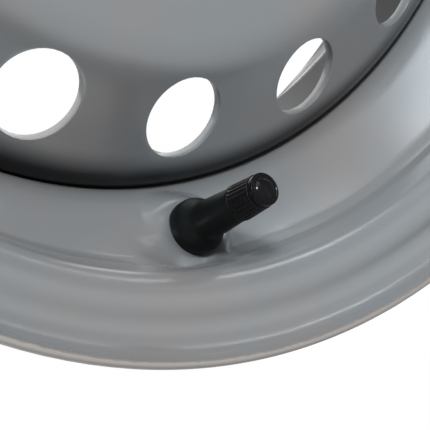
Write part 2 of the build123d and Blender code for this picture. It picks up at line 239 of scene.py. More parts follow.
class StageSizes(bpy.types.PropertyGroup):
    camera_place: point("Camera place", "Where the camera stands", -0.1762, -0.0872, 0.3101)
    camera_aim: point("Camera aim", "What the camera looks at", 0.00846, -0.15314, 0.0876)
    camera_roll: angle("Camera roll", "Roll of the camera", 107.3)
    lens: plain("Lens", "Focal length", 85.04, "CAMERA")
    sensor: plain("Sensor", "Width of the sensor", 36.0, "CAMERA")
    lamp_aim: point("Lamp aim", "What the key and the fill look at", 0.0, -0.05, 0.06)
    key_place: point("Key place", "Where the small key lamp stands", -0.66, 0.78, 0.82)
    key_size: plain("Key size", "Side of the key lamp", 0.24, "LENGTH")
    key_power: plain("Key power", "Power of the key lamp", 16.5, "POWER")
    fill_place: point("Fill place", "Where the broad, cool fill stands", -0.35, 1.2, 0.45)
    fill_width: plain("Fill width", "Width of the fill", 1.1, "LENGTH")
    fill_height: plain("Fill height", "Height of the fill", 0.8, "LENGTH")
    fill_power: plain("Fill power", "Power of the fill", 10.5, "POWER")
    under_size: plain("Under size", "Side of the faint lamp under the disc", 0.24, "LENGTH")
    under_power: plain("Under power", "Power of that lamp", 0.2, "POWER")
    room_light: share("Room light", "Strength of the even light", 0.46)
    wall_light: share("Wall light", "Strength of the white walls in reflections", 0.36)
    ceiling_light: share("Ceiling light", "Strength of the white ceiling in reflections", 0.92)
    front_light: share("Front light", "What the wall at the valve's side adds to them", 0.6)
    gap_near: plain("Gap near", "Sky's Y where the gap begins", -0.46)
    gap_far: plain("Gap far", "Sky's Y where the gap ends", -0.6)
    gap_low: share("Gap low", "Sky's Z where the gap begins", 0.2)


GROUPS = {
    "wheel_barrel": BarrelSizes,
    "wheel_disc": DiscSizes,
    "wheel_valve": ValveSizes,
    "wheel_finish": Finish,
    "wheel_stage": StageSizes,
}


# Materials


def add_node(tree, kind, out=0, **values):
    """Adds a node and returns one of its outputs.

    A name in small letters is a setting. Any other is an input, by its name or its number after _,
    and takes a link or a constant.
    """
    node = tree.nodes.new("ShaderNode" + kind)
    for name, value in values.items():
        if name[0].islower():
            setattr(node, name, value)
            continue
        socket = node.inputs[int(name[1:]) if name[0] == "_" else name.replace("_", " ")]
        if isinstance(value, bpy.types.NodeSocket):
            tree.links.new(value, socket)
        else:
            socket.default_value = value
    return node.outputs[out]


def give_nodes(owner, kind, make, *given):
    """Clears an owner's nodes and links what make returns to a new output node."""
    owner.use_nodes = True
    tree = owner.node_tree
    tree.nodes.clear()
    surface = make(tree, *given)
    tree.links.new(surface, tree.nodes.new("ShaderNodeOutput" + kind).inputs[0])


def where_all(tree, part, *fades):
    """A part, kept where every fade is full. A fade is a value, where it starts and is full."""
    for value, start, full in fades:
        eased = add_node(
            tree,
            "MapRange",
            interpolation_type="SMOOTHSTEP",
            Value=value,
            From_Min=start,
            From_Max=full,
        )
        part = add_node(tree, "Math", operation="MULTIPLY", _0=eased, _1=part)
    return part


def coat(tree, base, top, part, *fades):
    """A colour laid over the base in that part, where every fade is full."""
    part = where_all(tree, part, *fades)
    return add_node(tree, "Mix", 2, data_type="RGBA", _0=part, _6=base, _7=top)


def enamel(tree, finish):
    """Silver-grey stoved enamel on pressed steel: level and glossy, with a faint orange peel."""
    b = bpy.context.scene.wheel_barrel
    place = add_node(tree, "TexCoord", "Object")
    x, y, z = add_node(tree, "SeparateXYZ", Vector=place).node.outputs
    flat = add_node(tree, "CombineXYZ", X=x, Y=y)
    radius = add_node(tree, "VectorMath", "Value", operation="LENGTH", _0=flat)
    # Broad unevenness of the sprayed coat, patches about 60 mm wide
    cloud = add_node(tree, "TexNoise", Vector=place, Scale=16.0, Detail=2.0)
    base = coat(tree, finish.enamel, finish.enamel_cool, 1.0, (cloud, 0.35, 0.65))
    # The sheet's cut edge on each flange, paler
    half = overall_width(b) / 2
    middle = add_node(tree, "Math", operation="SUBTRACT", _0=z, _1=half)
    reach = add_node(tree, "Math", operation="ABSOLUTE", _0=middle)
    corner = b.seat_diameter / 2 + b.flange_height - b.sheet
    on_end = (reach, half - 0.5 * MM, half - 0.2 * MM)
    on_face = (radius, corner - 0.1 * MM, corner + 0.2 * MM)
    base = coat(tree, base, finish.cut_edge, 1.0, on_end, on_face)
    # Thin paint along the edge's inner corner, a ragged line about 1 mm wide
    rough = add_node(tree, "TexNoise", Vector=place, Scale=420.0, Detail=3.0)
    ragged = add_node(tree, "Math", operation="MULTIPLY_ADD", _0=rough, _1=0.7 * MM, _2=radius)
    ragged = add_node(tree, "Math", operation="SUBTRACT", _0=ragged, _1=corner + 0.45 * MM)
    from_corner = add_node(tree, "Math", operation="ABSOLUTE", _0=ragged)
    on_line = (from_corner, 0.55 * MM, 0.15 * MM)
    near_end = (reach, half - 0.9 * MM, half - 0.4 * MM)
    base = coat(tree, base, finish.edge_line, 1.0, on_line, near_end)
    # The deep shade of the joint, drawn on the disc's rolled edge where it goes down to the barrel
    joint = b.seat_diameter / 2 - b.well_depth - b.sheet
    rolled = (radius, joint - 12.0 * MM, joint - 3.2 * MM)
    inside = (radius, joint + 0.1 * MM, joint - 0.2 * MM)
    base = coat(tree, base, (0.004, 0.004, 0.005, 1), 1.0, rolled, inside)
    # Painted shade: a darker ring round the valve's foot on the outboard side, where the rubber
    # bulb's shade falls on the seat
    seat = valve_place(b)
    axis = seat.to_3x3() @ Vector((0, 0, 1))
    away = add_node(tree, "VectorMath", operation="SUBTRACT", _0=place, _1=seat.translation)
    away = add_node(tree, "VectorMath", operation="CROSS_PRODUCT", _0=away, _1=axis)
    away = add_node(tree, "VectorMath", "Value", operation="LENGTH", _0=away)
    ring = (away, 13.5 * MM, 8.0 * MM)
    outboard = (z, 70 * MM, 80 * MM)
    base = coat(tree, base, (0.1, 0.115, 0.12, 1), 0.5, ring, outboard)
    # A few specks of dust in the coat, under half a millimetre
    dust = add_node(tree, "TexVoronoi", Vector=place, Scale=45.0).node.outputs
    pick = add_node(tree, "SeparateColor", Color=dust["Color"])
    speck, few = (dust["Distance"], 0.016, 0.008), (pick, 0.9, 0.91)
    base = coat(tree, base, (0.03, 0.03, 0.03, 1), 1.0, speck, few)
    # Orange peel about 3 mm across
    peel = add_node(tree, "TexNoise", Vector=place, Scale=330.0, Detail=1.0)
    relief = add_node(tree, "Bump", Strength=0.1, Distance=0.03 * MM, Height=peel)
    return add_node(
        tree, "BsdfPrincipled", Base_Color=base, Metallic=0.36, Roughness=0.22, Normal=relief
    )


def worn(skin, lighter):
    """A dark colour as it looks where the skin is worn lighter."""
    return (*[part * lighter for part in skin[:3]], 1)


def rubber(tree, finish):
    """Moulded rubber with a satin skin, fine grain and faint mould flow."""
    place = add_node(tree, "TexCoord", "Object")
    flow = add_node(tree, "TexNoise", Vector=place, Scale=160.0, Detail=2.0)
    base = coat(tree, finish.rubber, worn(finish.rubber, 1.5), 1.0, (flow, 0.4, 0.75))
    grain = add_node(tree, "TexNoise", Vector=place, Scale=2500.0, Detail=2.0)
    relief = add_node(tree, "Bump", Strength=0.2, Distance=0.03 * MM, Height=grain)
    return add_node(
        tree,
        "BsdfPrincipled",
        Base_Color=base,
        Roughness=0.45,
        Specular_IOR_Level=0.1,
        Normal=relief,
    )


def plastic(tree, finish):
    """Moulded black plastic, glossier than the rubber, with faint swirls from the mould."""
    place = add_node(tree, "TexCoord", "Object")
    swirl = add_node(tree, "TexNoise", Vector=place, Scale=900.0, Detail=2.0)
    base = coat(tree, finish.plastic, worn(finish.plastic, 1.7), 1.0, (swirl, 0.45, 0.8))
    relief = add_node(tree, "Bump", Strength=0.25, Distance=0.04 * MM, Height=swirl)
    return add_node(
        tree,
        "BsdfPrincipled",
        Base_Color=base,
        Roughness=0.14,
        Specular_IOR_Level=0.11,
        Normal=relief,
    )


def brass(tree, finish):
    """Turned brass with fine tool marks."""
    place = add_node(tree, "TexCoord", "Object")
    marks = add_node(tree, "TexNoise", Vector=place, Scale=1800.0)
    relief = add_node(tree, "Bump", Strength=0.15, Distance=0.02 * MM, Height=marks)
    return add_node(
        tree, "BsdfPrincipled", Base_Color=finish.brass, Metallic=1.0, Roughness=0.32, Normal=relief
    )


MAKERS = {
    "grey_enamel": enamel,
    "valve_rubber": rubber,
    "seal_rubber": rubber,
    "valve_brass": brass,
    "cap_plastic": plastic,
}


def finish_for(slot):
    """The material of a slot, made on first use."""
    material = bpy.data.materials.get(slot)
    if not (material and material.get("wheel_finish")):
        material = bpy.data.materials.new(slot)
        give_nodes(material, "Material", MAKERS[slot], bpy.context.scene.wheel_finish)
        material.name = slot
        material["wheel_finish"] = True
    return material


# Outline helpers: a bent line is a run of corners, each with the radius of its bend.


def offset_corners(points, shift):
    normals = []
    for (x0, y0), (x1, y1) in zip(points, points[1:]):
        span = hypot(x1 - x0, y1 - y0)
        normals.append(((y1 - y0) / span, (x0 - x1) / span))
    moved = [(points[0][0] + shift * normals[0][0], points[0][1] + shift * normals[0][1])]
    for (x, y), (ax, ay), (bx, by) in zip(points[1:-1], normals, normals[1:]):
        scale = shift / (1 + ax * bx + ay * by)
        moved.append((x + scale * (ax + bx), y + scale * (ay + by)))
    moved.append((points[-1][0] + shift * normals[-1][0], points[-1][1] + shift * normals[-1][1]))
    return moved


def offset_bends(points, bends, shift):
    radii = []
    for (x0, y0), (x1, y1), (x2, y2), bend in zip(points, points[1:], points[2:], bends):
        turn = (x1 - x0) * (y2 - y1) - (y1 - y0) * (x2 - x1)
        radii.append(bend + shift if turn > 0 else bend - shift)
    return radii


class BentLine:
    """A line with rounded corners that gives the point at any length along it."""

    def __init__(self, corners, bends):
        self.parts = []
        start = Vector(corners[0])
        for corner, after, bend in zip(corners[1:], corners[2:], bends):
            corner, after = Vector(corner), Vector(after)
            into, out = (corner - start).normalized(), (after - corner).normalized()
            turn = into.angle_signed(out)
            cut = bend * tan(abs(turn) / 2)
            self.straight(start, corner - into * cut)
            side = Vector((-into.y, into.x)) * (-1 if turn > 0 else 1)
            centre = corner - into * cut + side * bend
            if bend:
                self.parts.append((abs(turn) * bend, centre, -side * bend, turn))
            start = corner + out * cut
        self.straight(start, Vector(corners[-1]))
        self.length = sum(part[0] for part in self.parts)

    def straight(self, start, end):
        if (end - start).length > MERGE:
            self.parts.append(((end - start).length, start, end - start, None))

    def point(self, along):
        for span, origin, arm, turn in self.parts[:-1]:
            if along <= span:
                break
            along -= span
        else:
            span, origin, arm, turn = self.parts[-1]
        part = min(along / span, 1.0)
        if turn is None:
            return origin + arm * part
        return origin + Matrix.Rotation(-turn * part, 2) @ arm

    def stops(self, pitch, bend_pitch):
        """Lengths along the line at which a mesh needs a point."""
        stops, passed = [0.0], 0.0
        for span, _, _, turn in self.parts:
            count = max(1, ceil(span / (pitch if turn is None else bend_pitch)))
            stops.extend(passed + span * (i + 1) / count for i in range(count))
            passed += span
        return stops

    def along_at_radius(self, radius):
        """Length at which a line that runs outward reaches a radius."""
        low, high = 0.0, self.length
        for _ in range(60):
            middle = (low + high) / 2
            low, high = (middle, high) if self.point(middle).x < radius else (low, middle)
        return low


def spin(bm, geometry, sweep, steps, merge=False):
    """Spins vertices and edges about the axle line and returns the last ones made."""
    made = bmesh.ops.spin(
        bm,
        geom=geometry,
        cent=(0, 0, 0),
        axis=(0, 0, 1),
        dvec=(0, 0, 0),
        angle=sweep,
        steps=steps,
        use_merge=merge,
        use_duplicate=False,
    )
    return made["geom_last"]


def turn_section(bm, points, steps, closed=False, sweep=2 * pi):
    """Turns a section of the XZ plane about Z, right round or through a sweep."""
    run = [bm.verts.new((x, 0, z)) for x, z in points]
    ends = run[1:] + run[:1] if closed else run[1:]
    edges = [bm.edges.new(pair) for pair in zip(run, ends)]
    spin(bm, run + edges, sweep, steps, merge=sweep == 2 * pi)


def close_shell(bm):
    bmesh.ops.remove_doubles(bm, verts=bm.verts[:], dist=MERGE)
    bmesh.ops.recalc_face_normals(bm, faces=bm.faces[:])


def round_edges(bm, edges, radius, segments=3):
    bmesh.ops.bevel(
        bm,
        geom=edges,
        offset=radius,
        offset_type="OFFSET",
        affect="EDGES",
        segments=segments,
        profile=0.5,
        material=-1,
        clamp_overlap=True,
    )


def new_object(name, data):
    thing = bpy.data.objects.new(name, data)
    bpy.context.scene.collection.objects.link(thing)
    return thing


def object_from(bm, name, slot, *nodes):
    """Makes a bmesh the piece that stands for some nodes."""
    mesh = bpy.data.meshes.new(name)
    for face in bm.faces:
        face.smooth = True
    bm.to_mesh(mesh)
    bm.free()
    piece = new_object(name, mesh)
    mesh.materials.append(finish_for(slot))
    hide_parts(*nodes)
    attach(piece, "root")


# Barrel

# Pitch of the mesh along the section, straight and in a bend
BARREL_PITCH, BARREL_BEND_PITCH = 1.7 * MM, 0.95 * MM
# Sweeps in degrees, and their steps; the first, finer one is centred on the valve
SWEEPS = ((30.0, 60), (330.0, 165))
# Round the valve the air side's mesh is halved twice, and smoothed once it is pressed
HALVED_WITHIN = (32 * MM, 22 * MM)
SMOOTHED_WITHIN, SMOOTHINGS = 26 * MM, 5
# Pitch of the section's points that halving looks up
LOOK_UP_PITCH = 0.02 * MM
# The press acts within this distance of the valve's axis, and above and below the pad
PRESS_REACH, PRESS_RISE = 50 * MM, 30 * MM
# Foot of the pocket's wall, how much earlier it begins at the ends, and how the depth eases in
WALL_FOOT, WALL_EARLY, DEPTH_EASE = 0.7 * MM, 6 * MM, 0.5 * MM


def overall_width(b):
    return b.flange_gap + 2 * b.lip_width


def barrel_lines(b):
    """The tyre side and the air side of the barrel's section, from the outboard edge."""
    seat = b.seat_diameter / 2
    width = overall_width(b)
    fall = tan(b.taper)

    def seat_at(inset, raised=0.0):
        return seat - (inset - b.lip_width) * fall + raised

    half = [
        (seat + b.flange_height, 0.0),
        (seat + b.flange_height, b.lip_width),
        (seat, b.lip_width),
        (seat_at(b.hump_start), b.hump_start),
        (seat_at(b.hump_middle, b.hump_height), b.hump_middle),
        (seat_at(b.hump_end), b.hump_end),
    ]
    half_bends = [b.lip_bend, b.heel_bend, b.hump_bend, b.hump_bend]
    corners = [(radius, width - inset) for radius, inset in half]
    corners += [(seat - b.well_depth, width - b.well_from), (seat - b.well_depth, b.well_to)]
    corners += [(radius, inset) for radius, inset in reversed(half)]
    bends = half_bends + [b.shoulder_bend, b.outboard_bend, b.inboard_bend, b.shoulder_bend]
    bends += reversed(half_bends)
    tyre = BentLine(corners, bends)
    air = BentLine(offset_corners(corners, b.sheet), offset_bends(corners, bends, b.sheet))
    return tyre, air


def valve_place(b):
    """Matrix that puts a piece turned about Z onto the valve's axis, its foot on the pad."""
    height = overall_width(b) - b.hump_end - b.pad_below_hump
    origin = Vector((0, b.pad_inset - b.seat_diameter / 2, height))
    along_rim, axis = Vector((1, 0, 0)), Vector((0, sin(b.lean), cos(b.lean)))
    turn = Matrix((along_rim, axis.cross(along_rim), axis)).transposed().to_4x4()
    return Matrix.Translation(origin) @ turn


def run_out(distance, span):
    """One inside an outline, falling smoothly to nothing over a span outside it."""
    part = min(max(distance / span, 0.0), 1.0)
    return 1 - part * part * (3 - 2 * part)


def press_seat(bm, side, b):
    """Presses the valve's seat: a pocket where the sheet is too high, a pad where too low."""
    place = valve_place(b)
    back = place.inverted()
    axis = place.to_3x3() @ Vector((0, 0, 1))
    for v in bm.verts:
        local = back @ v.co
        across = hypot(local.x, local.y)
        if across > PRESS_REACH or abs(local.z) > PRESS_RISE:
            continue
        grown = b.sheet if v[side] > 0 else 0.0
        depth = local.z + grown
        if depth > 0:
            along = local.x - b.pocket_shift
            fade = b.pocket_run_left if along < 0 else b.pocket_run_right
            ends = run_out(abs(along) - b.pocket_half_width - grown / 2, fade)
            early = (1 - ends) * WALL_EARLY
            foot = WALL_FOOT + early + depth * tan(b.pocket_wall_draft)
            wall = run_out(-local.y - b.pocket_reach - grown + early, foot)
            eased = depth / (depth + DEPTH_EASE)
            pad = run_out(across - b.pad_radius, b.pad_softness)
            hold = wall * max(ends * eased, pad)
        else:
            hold = b.pad_share * run_out(across - b.pad_radius + grown / 2, b.pad_fade)
        v.co -= axis * depth * hold


class OBJECT_OT_wheel_barrel(bpy.types.Operator):
    """Spins the barrel from its section and presses the valve's seat"""

    bl_idname = "object.wheel_barrel"
    bl_label = "Barrel"

    def execute(self, context):
        b = context.scene.wheel_barrel
        tyre, air = barrel_lines(b)
        width = overall_width(b)
        bm = bmesh.new()
        side = bm.verts.layers.float.new("side")
        turned = Matrix.Rotation(radians(-90 - SWEEPS[0][0] / 2), 4, "Z")
        loop = []
        for line, which in ((air, -1.0), (tyre, 1.0)):
            stops = line.stops(BARREL_PITCH, BARREL_BEND_PITCH)
            for along in stops if which < 0 else stops[::-1]:
                p = line.point(along)
                v = bm.verts.new(turned @ Vector((p.x, 0, p.y)))
                v[side] = which
                loop.append(v)
        geometry = loop + [bm.edges.new(pair) for pair in zip(loop, loop[1:] + loop[:1])]
        for sweep, steps in SWEEPS:
            geometry = spin(bm, geometry, radians(sweep), steps)
        close_shell(bm)
        middle = valve_place(b).translation
        for reach in HALVED_WITHIN:
            self.halve(bm, side, air, middle, reach)
        press_seat(bm, side, b)
        near = [v for v in bm.verts if v[side] < 0 and (v.co - middle).length < SMOOTHED_WITHIN]
        axes = {"use_axis_x": True, "use_axis_y": True, "use_axis_z": True}
        for _ in range(SMOOTHINGS):
            bmesh.ops.smooth_vert(bm, verts=near, factor=0.5, **axes)
        ends = [
            edge
            for edge in bm.edges
            if min(edge.verts[0].co.z, width - edge.verts[0].co.z) < TINY
            and abs(edge.verts[0].co.xy.length - edge.verts[1].co.xy.length) < TINY
        ]
        round_edges(bm, ends, b.edge_round)
        object_from(bm, "barrel", "grey_enamel", "rim_barrel")
        return {"FINISHED"}

    def halve(self, bm, side, air, middle, reach):
        """Halves the mesh of the air side round the valve, with the new points on the section."""
        count = ceil(air.length / LOOK_UP_PITCH)
        section = kdtree.KDTree(count + 1)
        for index in range(count + 1):
            p = air.point(air.length * index / count)
            section.insert((p.x, 0, p.y), index)
        section.balance()
        near = [
            edge
            for edge in bm.edges
            if all(v[side] < 0 and (v.co - middle).length < reach for v in edge.verts)
        ]
        made = bmesh.ops.subdivide_edges(bm, edges=near, cuts=1, use_grid_fill=True)
        for part in made["geom"]:
            if isinstance(part, bmesh.types.BMVert):
                part[side] = -1.0
                radius = part.co.xy.length
                p = section.find((radius, 0, part.co.z))[0]
                part.co.xy *= p.x / radius
                part.co.z = p.z


# Disc


def disc_line(d, b):
    """The disc's section on its outboard face, and the place of a vent on it."""
    skirt = b.seat_diameter / 2 - b.well_depth - b.sheet
    front = overall_width(b) / 2 + d.offset + d.sheet
    crown = overall_width(b) - d.crown_drop
    pad = d.nut_circle / 2 + d.boss_radius + d.pad_margin
    fall = tan(d.vent_slope)
    ring = skirt - d.vent_inset
    corner = crown - d.vent_fall - d.vent_inset * fall
    skirt_end = corner - d.skirt_bend * tan((pi / 2 - d.vent_slope) / 2) - d.skirt_length
    corners = [
        (d.bore_radius, front),
        (pad, front),
        (pad + (crown - front) / tan(d.wall_slope), crown),
        (ring - d.vent_fall / fall, crown),
        (skirt, corner),
        (skirt, skirt_end),
    ]
    line = BentLine(corners, [d.pad_bend, d.crown_inner, d.crown_outer, d.skirt_bend])
    return line, line.along_at_radius(ring), ring, skirt_end


# The face's mesh has one sector to each vent, and the hub's one to each nut
VENTS, NUTS, WELDS = 16, 4, 8
SIDE_POINTS = 16
NUT_POINTS = VENTS * SIDE_POINTS // NUTS
DISC_PITCH, DISC_BEND_PITCH = 2.0 * MM, 1.2 * MM
# From a vent's edge to its sector's inner and outer side
MARGIN_IN, MARGIN_OUT = 4 * MM, 3 * MM
# Rings of a vent's sector, from the hole's edge out
RINGS = (0.0, 0.07, 0.2, 0.38, 0.58, 0.79, 1.0)
# An edge that turns by more than this is rounded
SHARP_TURN = 0.9


def sector_rim(low, high, half, across=SIDE_POINTS):
    """Points round a sector of the face, as angle and radius or length along the section."""
    up = [i / SIDE_POINTS for i in range(SIDE_POINTS)]
    over = [i / across for i in range(across)]
    points = [(half, low + (high - low) * t) for t in up]
    points += [(half - 2 * half * t, high) for t in over]
    points += [(-half, high - (high - low) * t) for t in up]
    points += [(-half + 2 * half * t, low) for t in over]
    return points


def extrude_rings(bm, rows):
    """Extrudes a closed ring of edges through rows of places."""
    ring = [bm.verts.new(place) for place in rows[0]]
    edges = [bm.edges.new(pair) for pair in zip(ring, ring[1:] + ring[:1])]
    for row in rows[1:]:
        made = bmesh.ops.extrude_edge_only(bm, edges=edges)["geom"]
        fresh = {part for part in made if isinstance(part, bmesh.types.BMVert)}
        edges = [
            part
            for part in made
            if isinstance(part, bmesh.types.BMEdge) and fresh.issuperset(part.verts)
        ]
        ring = [
            next(edge.other_vert(v) for edge in v.link_edges if edge.other_vert(v) in fresh)
            for v in ring
        ]
        for v, place in zip(ring, row):
            v.co = place


def vent_patch(bm, line, vent_at, ring, d, turned, low, high, half):
    """One vent's sector of the face: rings from the hole's edge out to the sector's sides."""
    outer = sector_rim(low, high, half)
    hole = []
    for phi, along in outer:
        heading = atan2(along - vent_at, phi * ring)
        x, y = d.vent_radius * cos(heading), d.vent_radius * sin(heading)
        phi, along = x / ring, vent_at + y
        for _ in range(4):
            radius = line.point(along).x
            phi = asin(x / radius)
            along = vent_at + y + radius * (1 - cos(phi)) * cos(d.vent_slope)
        hole.append((phi, along))
    rows = []
    for part in RINGS:
        row = []
        for (phi0, along0), (phi1, along1) in zip(hole, outer):
            p = line.point(along0 + (along1 - along0) * part)
            phi = turned + phi0 + (phi1 - phi0) * part
            row.append((p.x * cos(phi), p.x * sin(phi), p.y))
        rows.append(row)
    extrude_rings(bm, rows)


def nut_patch(bm, line, d, turned, edge_radius):
    """One nut's sector of the hub face, with the boss round its hole."""
    outer = sector_rim(edge_radius, d.bore_radius, pi / NUTS, NUT_POINTS)
    front = line.point(0).y
    seat_top = d.nut_hole + d.seat_depth * tan(d.seat_slope)
    boss_top = d.boss_radius - d.boss_height / tan(d.boss_slope)
    centre = Vector((d.nut_circle / 2, 0))
    arms = [Vector((r * cos(a), r * sin(a))) - centre for a, r in outer]
    # Radius of each ring round the hole, and its share of the boss's height
    profile = [
        (seat_top, 1.0),
        (seat_top + 0.5 * MM, 1.0),
        (boss_top - 0.5 * MM, 1.0),
        (boss_top + 0.1 * MM, 0.96),
        (boss_top + 0.7 * MM, 0.78),
        ((boss_top + d.boss_radius) / 2, 0.5),
        (d.boss_radius - 0.7 * MM, 0.22),
        (d.boss_radius - 0.1 * MM, 0.04),
        (d.boss_radius + 0.5 * MM, 0.0),
    ]
    rings = [
        [(centre + arm.normalized() * radius, height) for arm in arms] for radius, height in profile
    ]
    starts = [place for place, _ in rings[-1]]
    for part in (0.5, 0.95, 1.0):
        rings.append([(s + (centre + arm - s) * part, 0.0) for s, arm in zip(starts, arms)])
    turn = Matrix.Rotation(turned, 2)
    rows = [
        [(*(turn @ place), front + height * d.boss_height) for place, height in row]
        for row in rings
    ]
    extrude_rings(bm, rows)


class OBJECT_OT_wheel_disc(bpy.types.Operator):
    """Makes the pressed disc with its vents and nut holes, and gives it its thickness"""

    bl_idname = "object.wheel_disc"
    bl_label = "Disc"

    def execute(self, context):
        d, b = context.scene.wheel_disc, context.scene.wheel_barrel
        line, vent_at, ring, _ = disc_line(d, b)
        pad = d.nut_circle / 2 + d.boss_radius + d.pad_margin
        edge_radius = pad - d.pad_bend * tan(d.wall_slope / 2)
        inner_end = line.along_at_radius(edge_radius)
        low = vent_at - d.vent_radius - MARGIN_IN
        high = vent_at + d.vent_radius + MARGIN_OUT
        stops = line.stops(DISC_PITCH, DISC_BEND_PITCH)
        bm = bmesh.new()
        for first, last in ((inner_end, low), (high, line.length)):
            inside = [s for s in stops if first + 0.3 * MM < s < last - 0.3 * MM]
            if last == line.length:
                inside = [s for s in inside if s < last - 1.2 * MM] + [last - 0.9 * MM]
            section = [tuple(line.point(s)) for s in [first, *inside, last]]
            turn_section(bm, section, VENTS * SIDE_POINTS)
        bmesh.ops.rotate(
            bm, verts=bm.verts[:], cent=(0, 0, 0), matrix=Matrix.Rotation(d.turn, 3, "Z")
        )
        for index in range(VENTS):
            turned = d.turn - pi / 2 + index * 2 * pi / VENTS
            vent_patch(bm, line, vent_at, ring, d, turned, low, high, pi / VENTS)
        for index in range(NUTS):
            nut_patch(bm, line, d, d.turn + d.nut_turn + index * 2 * pi / NUTS, edge_radius)
        close_shell(bm)
        if sum(face.normal.z for face in bm.faces) < 0:
            bmesh.ops.reverse_faces(bm, faces=bm.faces[:])
        bmesh.ops.solidify(bm, geom=bm.faces[:], thickness=d.sheet)
        self.cut_nut_seats(bm, d, line.point(0).y + d.boss_height)
        sharp = [e for e in bm.edges if e.is_manifold and e.calc_face_angle() > SHARP_TURN]
        round_edges(bm, sharp, d.edge_round, 2)
        object_from(bm, "disc", "grey_enamel", "wheel_disc")
        return {"FINISHED"}

    def cut_nut_seats(self, bm, d, top):
        """Tapers each nut hole from its cone down to its bore."""
        within = d.nut_hole + d.seat_depth * tan(d.seat_slope) + 0.2 * MM
        level = top - d.seat_depth
        for index in range(NUTS):
            turned = d.turn + d.nut_turn + index * 2 * pi / NUTS
            centre = Vector((cos(turned), sin(turned))) * d.nut_circle / 2
            walls = {
                face
                for face in bm.faces
                if abs(face.normal.z) < 0.5
                and (face.calc_center_median().xy - centre).length < within
            }
            edges = {edge for face in walls for edge in face.edges}
            verts = {v for face in walls for v in face.verts}
            bmesh.ops.bisect_plane(
                bm,
                geom=[*walls, *edges, *verts],
                dist=TINY / 10,
                plane_co=(0, 0, level),
                plane_no=(0, 0, 1),
            )
            for v in bm.verts:
                arm = v.co.xy - centre
                if arm.length < within and v.co.z < level + TINY:
                    v.co.xy = centre + arm.normalized() * d.nut_hole


class OBJECT_OT_wheel_welds(bpy.types.Operator):
    """Lays the rippled weld beads between the disc's skirt and the barrel"""

    bl_idname = "object.wheel_welds"
    bl_label = "Weld beads"

    def execute(self, context):
        d, b = context.scene.wheel_disc, context.scene.wheel_barrel
        skirt_end = disc_line(d, b)[3]
        radius = b.seat_diameter / 2 - b.well_depth - b.sheet
        corner = Vector((radius, skirt_end))
        steps, crown_points = 72, 8
        # The bead's face bulges, and its ripples and rounded ends are pressed into it
        fullness, bulge, ripple_depth, end_size, end_round = 0.86, 0.16, 0.13, 0.45, 2.2 * MM
        section = [tuple(corner)]
        for part in range(crown_points + 1):
            swing = pi / 2 * part / crown_points
            arm = Vector((-sin(swing) * d.sheet, -cos(swing) * d.weld_leg))
            section.append(tuple(corner + arm * (1 + bulge * sin(2 * swing)) * fullness))
        bm = bmesh.new()
        for index in range(WELDS):
            before = set(bm.verts)
            turn_section(bm, section, steps, closed=True, sweep=d.weld_arc)
            made = [v for v in bm.verts if v not in before]
            for v in made:
                along = atan2(v.co.y, v.co.x) * radius
                end = min(along, d.weld_arc * radius - along) / end_round
                fade = max(1 - max(1 - end, 0.0) ** 2, 0.0) ** 0.5
                ripple = 1 - ripple_depth * abs(sin(pi * along / d.weld_ripple))
                flat = Vector((v.co.xy.length, v.co.z)) - corner
                flat = corner + flat * ripple * (end_size + (1 - end_size) * fade)
                v.co.xy = v.co.xy.normalized() * flat.x
                v.co.z = flat.y
            turned = Matrix.Rotation(d.turn - d.weld_arc / 2 + index * 2 * pi / WELDS, 3, "Z")
            bmesh.ops.rotate(bm, verts=made, cent=(0, 0, 0), matrix=turned)
        bmesh.ops.holes_fill(bm, edges=[edge for edge in bm.edges if edge.is_boundary])
        close_shell(bm)
        object_from(bm, "weld_beads", "grey_enamel", "disc_welds")
        return {"FINISHED"}


# Valve, from rows of radius, height and bend on the valve's own axis

CRISP = 0.05 * MM


def bent_section(rows, pitch, bend_pitch):
    """Points of a closed section from rows of radius, height and bend."""
    line = BentLine([row[:2] for row in rows], [row[2] for row in rows[1:-1]])
    return [tuple(line.point(s)) for s in line.stops(pitch, bend_pitch)]


